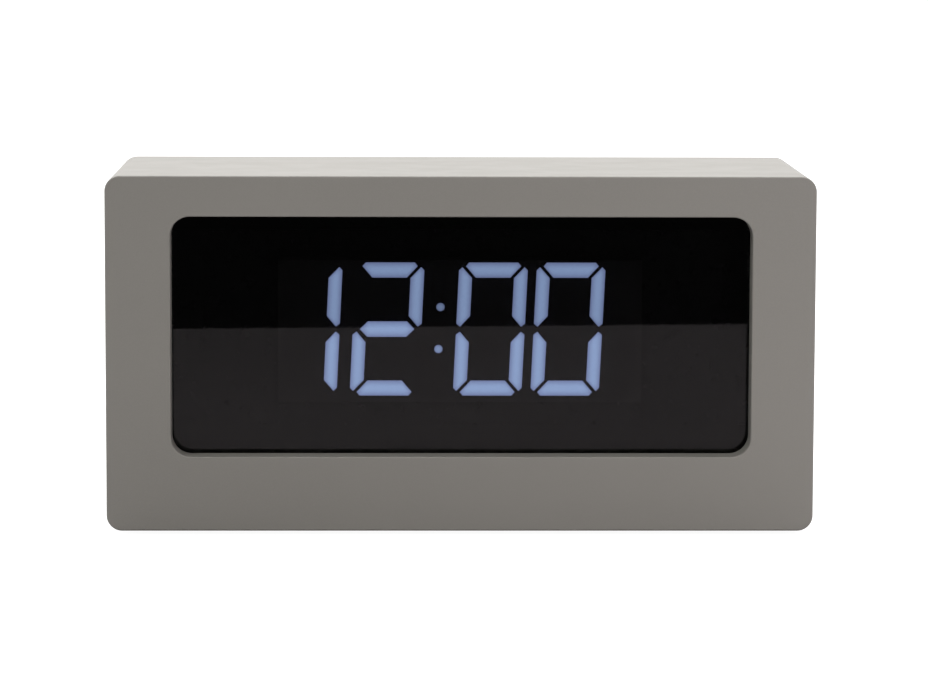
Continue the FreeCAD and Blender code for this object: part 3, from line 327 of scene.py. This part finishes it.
def smoked_acrylic():
    """A polished dark sheet: a clear gloss over a deep smoke tint that lets the digits through."""
    s = Shader("smoked_acrylic")
    ripple = s.bump(s.noise(60 * MM, detail=1.0), 0.001 * MM)
    scratches = s.patches(0.5 * MM, 0.012, 0.05, spread=(0.62, 0.75), detail=2.0, rough=0.5,
                          stretch=(1.0, 1.0, 0.08))
    fresnel = s.node("ShaderNodeFresnel", {"IOR": COATING_IOR, "Normal": ripple})
    clear = s.node("ShaderNodeBsdfTransparent", {"Color": SMOKE_TINT})
    gloss = s.node("ShaderNodeBsdfGlossy", {"Color": COATING, "Roughness": scratches, "Normal": ripple})
    both = s.choose(fresnel.outputs["Fac"], clear.outputs["BSDF"], gloss.outputs["BSDF"])
    s.feed(s.output.inputs["Surface"], both)
    return s.material


def lit_resin():
    """A lit light window: brightest along its spine. The mesh says how near the spine each point is,
    as glow, and how strongly its segment is driven, as level."""
    s = Shader("lit_segments")
    glow = s.node("ShaderNodeAttribute", attribute_name="glow").outputs["Fac"]
    level = s.node("ShaderNodeAttribute", attribute_name="level").outputs["Fac"]
    light = s.mix(glow, RIM_LIGHT, SPINE_LIGHT)
    strength = s.math("MULTIPLY", level, s.patches(0.7 * MM, 0.97, 1.03, detail=2.0))
    shader = s.principled(RESIN, 0.45, s.bump(s.noise(0.3 * MM), 0.01 * MM))
    s.feed(shader.inputs["Emission Color"], light)
    s.feed(shader.inputs["Emission Strength"], strength)
    return s.material


def metal(name, colour, rough, brushed=False, tarnish=0.15):
    """Plated or brushed metal with a slight tarnish."""
    s = Shader(name)
    dull = s.patches(2.2 * MM, spread=(0.4, 0.75), detail=4.0)
    toned = s.mix(s.math("MULTIPLY", dull, tarnish), colour, scaled(colour, 0.55))
    lines = s.noise(0.3 * MM, detail=2.0, rough=0.5, stretch=(0.06, 1.0, 1.0) if brushed else None)
    roughness = s.patches(1.2 * MM, rough - 0.06, rough + 0.08)
    s.principled(toned, roughness, s.bump(lines, 0.004 * MM), Metallic=1.0)
    return s.material


def rubber():
    """Matt black rubber with a little dust on it."""
    s = Shader("foot_rubber")
    dust = s.patches(3 * MM, spread=(0.45, 0.8), detail=5.0)
    colour = s.mix(s.math("MULTIPLY", dust, 0.5), (0.028, 0.028, 0.029), (0.10, 0.098, 0.094))
    texture = s.bump(s.noise(0.35 * MM, rough=0.6), 0.03 * MM)
    roughness = s.ramp(dust, 0.0, 1.0, 0.72, 0.9)
    s.principled(colour, roughness, texture, Specular_IOR_Level=0.35)
    return s.material


def circuit_board(name, mask, copper):
    """Solder mask with fine copper tracks and pads showing faintly under it."""
    s = Shader(name)
    place = s.mapped(Rotation=(0, math.radians(45), 0))
    tracks = s.node("ShaderNodeTexBrick", {"Vector": place, "Scale": 1 / (6 * MM), "Mortar Size": 0.035},
                    offset=0.5, squash=1.0)
    pads = s.ramp(s.cells(2.4 * MM), 0.16, 0.12)
    lines = s.math("MULTIPLY", tracks.outputs["Fac"], 0.6)
    raised = s.math("MAXIMUM", lines, s.math("MULTIPLY", pads, 0.5))
    roughness = s.patches(3 * MM, 0.26, 0.36)
    s.principled(s.mix(raised, mask, copper), roughness, s.bump(raised, 0.03 * MM), Coat_Weight=0.3,
                 Coat_Roughness=0.15)
    return s.material


def banded_sleeve(name, colour, band):
    """A printed sleeve: glossy, with plain bands."""
    s = Shader(name)
    toned = s.toned(colour, change=0.08, size=5 * MM, spread=WIDE)
    banded = s.mix(s.ramp(s.waves(44 * MM), 0.80, 0.84), toned, band)
    roughness = s.patches(1.5 * MM, 0.22, 0.32)
    s.principled(banded, roughness, s.bump(s.noise(0.8 * MM), 0.01 * MM), Coat_Weight=0.4,
                 Coat_Roughness=0.1)
    return s.material


def ribbon_film():
    """Flat cable: fine parallel conductors under clear film."""
    s = Shader("ribbon_film")
    conductors = s.ramp(s.waves(1 * MM), -0.1, 0.3)
    colour = s.mix(conductors, (0.62, 0.64, 0.68), (0.42, 0.40, 0.36))
    roughness = s.patches(2 * MM, 0.25, 0.35)
    s.principled(colour, roughness, s.bump(conductors, 0.02 * MM))
    return s.material


def make_finishes():
    """One material for each material slot of the record."""
    made = {
        "case_finish": soft_paint(CASE_GREY),
        "button_plastic": button_caps(WARM_GREY),
        "smoked_acrylic": smoked_acrylic(),
        "foot_rubber": rubber(),
        "lit_segments": lit_resin(),
        "ribbon_film": ribbon_film(),
    }
    for name, (colour, rough, grain, depth, settings) in MOULDED.items():
        made[name] = moulded(name, colour, rough, grain * MM, depth * MM, **settings)
    for name, (colour, rough, settings) in METALS.items():
        made[name] = metal(name, colour, rough, **settings)
    for name, colours in BOARDS.items():
        made[name] = circuit_board(name, *colours)
    for name, colours in SLEEVES.items():
        made[name] = banded_sleeve(name, *colours)
    return made


def dress(finishes):
    """Gives every CAD node the finish of its material slot."""
    for entry in frame["record"]["subparts"]:
        mesh = frame["nodes"][entry["node"]].data
        mesh.materials.clear()
        mesh.materials.append(finishes[entry["material_slot"]])


# ---- lit light windows ---------------------------------------------------------------------

MERGE_DISTANCE = 1e-6     # between vertices that are one point, in metres
FRONT_DEPTH = 1e-5        # how near the front a vertex has to be to lie on it, in metres
SLANT = 2.7               # the lean of the digits, in degrees
TIP_SHARE = 0.62          # from a segment's tips to the ends of its spine, in segment widths
RIM_DEPTH = 0.06 * MM     # how far the rim is set back from the front
LONGEST_SIDE = 0.8 * MM   # longer sides of an outline are split
SHORTEST_SPINE = 1e-7     # a shorter one is a point, in metres
RINGS = (0.06, 0.2, 0.36, 0.52, 0.68, 0.84)   # shares of the way from the outline to the spine

# How strongly the segments are driven: more in the lower half of the display, and most at its foot.
# The heights are shares of the digits' height.
UPPER_LEVEL = 1.0
LOWER_LEVEL = 1.22
TURN_TOP = 0.66
TURN_HEIGHT = 0.12
FOOT_TOP = 0.25
FOOT_LIFT = 0.06
FULL_SHARES = (1.0, 1.0)
DOT_SHARES = (0.68, 0.82)   # of that level, for the upper and the lower dot of the colon


def loose_outlines(node):
    """The front outline of each solid in a node, as lists of (x, z), and the node's front and back Y."""
    low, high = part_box(node)
    mesh = bmesh.new()
    mesh.from_mesh(frame["nodes"][node].data)
    bmesh.ops.remove_doubles(mesh, verts=mesh.verts, dist=MERGE_DISTANCE)
    left = dict.fromkeys(v for v in mesh.verts if abs(v.co.y - low.y) < FRONT_DEPTH)
    outlines = []
    while left:
        pool = [left.popitem()[0]]
        group = []
        while pool:
            vertex = pool.pop()
            group.append(vertex)
            for edge in vertex.link_edges:
                other = edge.other_vert(vertex)
                if other in left:
                    del left[other]
                    pool.append(other)
        centre = sum((v.co for v in group), Vector()) / len(group)
        around = sorted(group, key=lambda v: math.atan2(v.co.z - centre.z, v.co.x - centre.x))
        outlines.append([(v.co.x, v.co.z) for v in around])
    mesh.free()
    return outlines, low.y, high.y


def spine_of(outline):
    """The two ends of the line that runs down a segment's middle."""
    xs = [x for x, z in outline]
    zs = [z for x, z in outline]
    centre = Vector(((min(xs) + max(xs)) / 2, (min(zs) + max(zs)) / 2))
    points = [Vector(point) for point in outline]
    longest = max((a - b for a in points for b in points), key=lambda line: line.length)
    if abs(longest.x) > abs(longest.y):
        along = Vector((1, 0))
        width = max(zs) - min(zs)
    else:
        along = Vector((math.tan(math.radians(SLANT)), 1)).normalized()
        width = max(xs) - min(xs)
    reach = max(longest.length / 2 - width * TIP_SHARE, 0.0)
    return centre - along * reach, centre + along * reach


def toward(point, spine, share):
    """The point, moved a share of the way to the nearest point of the spine."""
    start, end = spine
    run = end - start
    t = 0.0
    if run.length > SHORTEST_SPINE:
        t = max(0.0, min(1.0, (point - start).dot(run) / run.length_squared))
    return point.lerp(start + run * t, share)


def level_at(z, low, high):
    """How strongly a segment with its middle at this height is driven."""
    t = (z - low) / (high - low)
    turn = max(0.0, min(1.0, (TURN_TOP - t) / TURN_HEIGHT))
    turn = turn * turn * (3 - 2 * turn)
    foot = max(0.0, FOOT_TOP - t) / FOOT_TOP
    return UPPER_LEVEL + (LOWER_LEVEL - UPPER_LEVEL) * turn + FOOT_LIFT * foot


def subdivided(outline):
    """The outline with its long sides split, so that rings stay even."""
    points = []
    for index, point in enumerate(outline):
        start = Vector(point)
        end = Vector(outline[(index + 1) % len(outline)])
        steps = max(1, int((end - start).length / LONGEST_SIDE))
        points.extend(start.lerp(end, step / steps) for step in range(steps))
    return points


def light_windows(name, node, finish, shares=FULL_SHARES):
    """Cast resin windows with rounded rims and a glow that rises to the spine of each one."""
    outlines, front, back = loose_outlines(node)
    digits_low, digits_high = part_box("digit_2_lit")
    mesh = bmesh.new()
    glow = mesh.verts.layers.float.new("glow")
    level = mesh.verts.layers.float.new("level")
    # Share of the way to the spine, Y and glow: the back, the rim, and the rings on the front.
    steps = [(0.0, back, 0.0), (0.0, front + RIM_DEPTH, 0.0)]
    steps += [(share, front, math.sin(share * math.pi / 2)) for share in RINGS]
    for outline in outlines:
        spine = spine_of(outline)
        middle = (spine[0].y + spine[1].y) / 2
        share_lit = shares[0] if middle > (digits_low.z + digits_high.z) / 2 else shares[1]
        lit = share_lit * level_at(middle, digits_low.z, digits_high.z)
        points = subdivided(outline)
        loops = []
        for share, y, value in steps:
            loop = []
            for point in points:
                x, z = toward(point, spine, share)
                vertex = mesh.verts.new((x, y, z))
                vertex[glow] = value
                vertex[level] = lit
                loop.append(vertex)
            loops.append(loop)
        for lower, upper in zip(loops, loops[1:]):
            for index in range(len(lower)):
                following = (index + 1) % len(lower)
                mesh.faces.new((lower[index], lower[following], upper[following], upper[index]))
        mesh.faces.new(loops[-1])
        mesh.faces.new(list(reversed(loops[0])))
    bmesh.ops.recalc_face_normals(mesh, faces=mesh.faces)
    data = bpy.data.meshes.new(name)
    mesh.to_mesh(data)
    mesh.free()
    data.materials.append(finish)
    piece = bpy.data.objects.new(name, data)
    bpy.context.scene.collection.objects.link(piece)
    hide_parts(node)
    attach(piece, "case")


# ---- floor ---------------------------------------------------------------------------------

TABLE_EDGE = -0.4455       # the Y of the table's near edge, in line with the clock's middle
TABLE_EDGE_TURN = 0.083    # its slope: how far it comes nearer for each metre to the right
FLOOR_HALF = 6.0           # half the floor's side, in metres
PAPER_DARK = (0.27, 0.27, 0.27)
PAPER_LIGHT = (0.29, 0.29, 0.29)
PAPER_GLOW = 0.95          # brings the paper up to plain white, for the camera only

# The table as gloss mirrors it, in painted shade: its tone at its near edge, and at SHADED_FAR and beyond.
SHADED_NEAR_TONE = (0.424, 0.400, 0.414)
SHADED_FAR_TONE = (0.530, 0.500, 0.516)
SHADED_FAR = -0.10


def floor_finish():
    """Matt white paper. Polished things mirror it darker than it looks, in a painted shade that darkens
    towards the table's near edge, as they would a shaded table.
    """
    s = Shader("floor_paint")
    paper = s.mix(s.patches(0.25), PAPER_DARK, PAPER_LIGHT)
    # Painted shade for gloss only: in reflections the table looks darker, and darkest at its near edge.
    painted_shade_ramp = s.ramp(s.along("Y", s.place), TABLE_EDGE, SHADED_FAR)
    shaded = s.mix(painted_shade_ramp, SHADED_NEAR_TONE, SHADED_FAR_TONE)
    path = s.node("ShaderNodeLightPath").outputs
    colour = s.mix(path["Is Glossy Ray"], paper, shaded)
    texture = s.bump(s.noise(1.5 * MM), 0.01 * MM)
    shader = s.principled(colour, 0.6, texture, Specular_IOR_Level=0.2, Emission_Color=WHITE)
    s.feed(shader.inputs["Emission Strength"], s.math("MULTIPLY", path["Is Camera Ray"], PAPER_GLOW))
    return s.material


def floor_piece(name, corners, finish):
    data = bpy.data.meshes.new(name)
    data.from_pydata([(x, y, 0.0) for x, y in corners], [], [tuple(range(len(corners)))])
    data.materials.append(finish)
    piece = bpy.data.objects.new(name, data)
    bpy.context.scene.collection.objects.link(piece)
    return piece


def make_floor():
    """The table top, which the window mirrors, and the rest of the floor before it, which it doesn't."""
    finish = floor_finish()
    f = FLOOR_HALF
    left = TABLE_EDGE + TABLE_EDGE_TURN * f
    right = TABLE_EDGE - TABLE_EDGE_TURN * f
    floor_piece("table_top", [(-f, left), (f, right), (f, f), (-f, f)], finish)
    rest = floor_piece("floor", [(-f, -f), (f, -f), (f, right), (-f, left)], finish)
    rest.visible_glossy = False


# ---- light ---------------------------------------------------------------------------------

# The world's strength behind the clock and in front of it, for light and for what gloss mirrors.
# The turns say where it changes, by how far a direction points to the back.
BACK_GLOW = 1.15
FRONT_GLOW = 0.15
FRONT_MIRRORED = 0.04
GLOW_TURN = (-0.15, 0.35)
MIRRORED_TURN = (-0.05, 0.25)
WORLD_TINT = (1.0, 0.995, 0.985)
BACKDROP = 1.05            # what the camera sees: a little over white

# Area lights: place, aim, width and height in metres, power in watts, colour.
LIGHTS = {
    "overhead": ((0.0, 1.0, 2.4), (0.0, 0.2, 0.0), (3.6, 2.6), 85.0, (1.0, 0.968, 0.983)),
    "front_fill": ((-0.85, -1.75, 2.6), (0.0, 0.0, 0.04), (2.4, 1.2), 40.0, (1.0, 0.99, 0.96)),
    "right_fill": ((0.32, -0.5, 0.10), (0.04, 0.0, 0.03), (0.28, 0.18), 0.8, (1.0, 0.92, 0.95)),
    "left_side": ((-1.4, 0.25, 0.35), (0.0, 0.0, 0.04), (0.5, 0.7), 4.0, WHITE),
}


def area_light(name, place, aim, size, power, colour):
    data = bpy.data.lights.new(name, "AREA")
    data.shape = "RECTANGLE"
    data.size, data.size_y = size
    data.energy = power
    data.color = colour
    light = bpy.data.objects.new(name, data)
    light.location = place
    direction = Vector(aim) - Vector(place)
    light.rotation_euler = direction.to_track_quat("-Z", "Y").to_euler()
    light.visible_camera = False
    bpy.context.scene.collection.objects.link(light)


def make_world():
    """White to the camera, bright behind the object and dim in front of it, and near black where
    gloss looks forward."""
    world = bpy.data.worlds.new("studio")
    bpy.context.scene.world = world
    tree = Tree(world)

    def background(colour, strength):
        made = tree.node("ShaderNodeBackground", {"Color": colour, "Strength": strength})
        return made.outputs["Background"]

    to_back = tree.along("Y", tree.node("ShaderNodeTexCoord").outputs["Generated"])
    soft = background(WORLD_TINT, tree.ramp(to_back, *GLOW_TURN, FRONT_GLOW, BACK_GLOW, "LINEAR"))
    gloss = background(WHITE, tree.ramp(to_back, *MIRRORED_TURN, FRONT_MIRRORED, BACK_GLOW, "LINEAR"))
    path = tree.node("ShaderNodeLightPath").outputs
    lit = tree.choose(path["Is Glossy Ray"], soft, gloss)
    shown = tree.choose(path["Is Camera Ray"], lit, background(WHITE, BACKDROP))
    tree.node("ShaderNodeOutputWorld", {"Surface": shown})


def make_light():
    make_world()
    for name, settings in LIGHTS.items():
        area_light(name, *settings)
    bpy.context.scene.view_settings.view_transform = "Standard"
    bpy.context.scene.view_settings.look = "None"


# ---- the scene -----------------------------------------------------------------------------

make_camera()
finishes = make_finishes()
dress(finishes)
for number in (1, 2, 3, 4):
    light_windows("digit_%d_windows" % number, "digit_%d_lit" % number, finishes["lit_segments"])
light_windows("colon_windows", "colon_dots", finishes["lit_segments"], DOT_SHARES)
make_floor()
make_light()
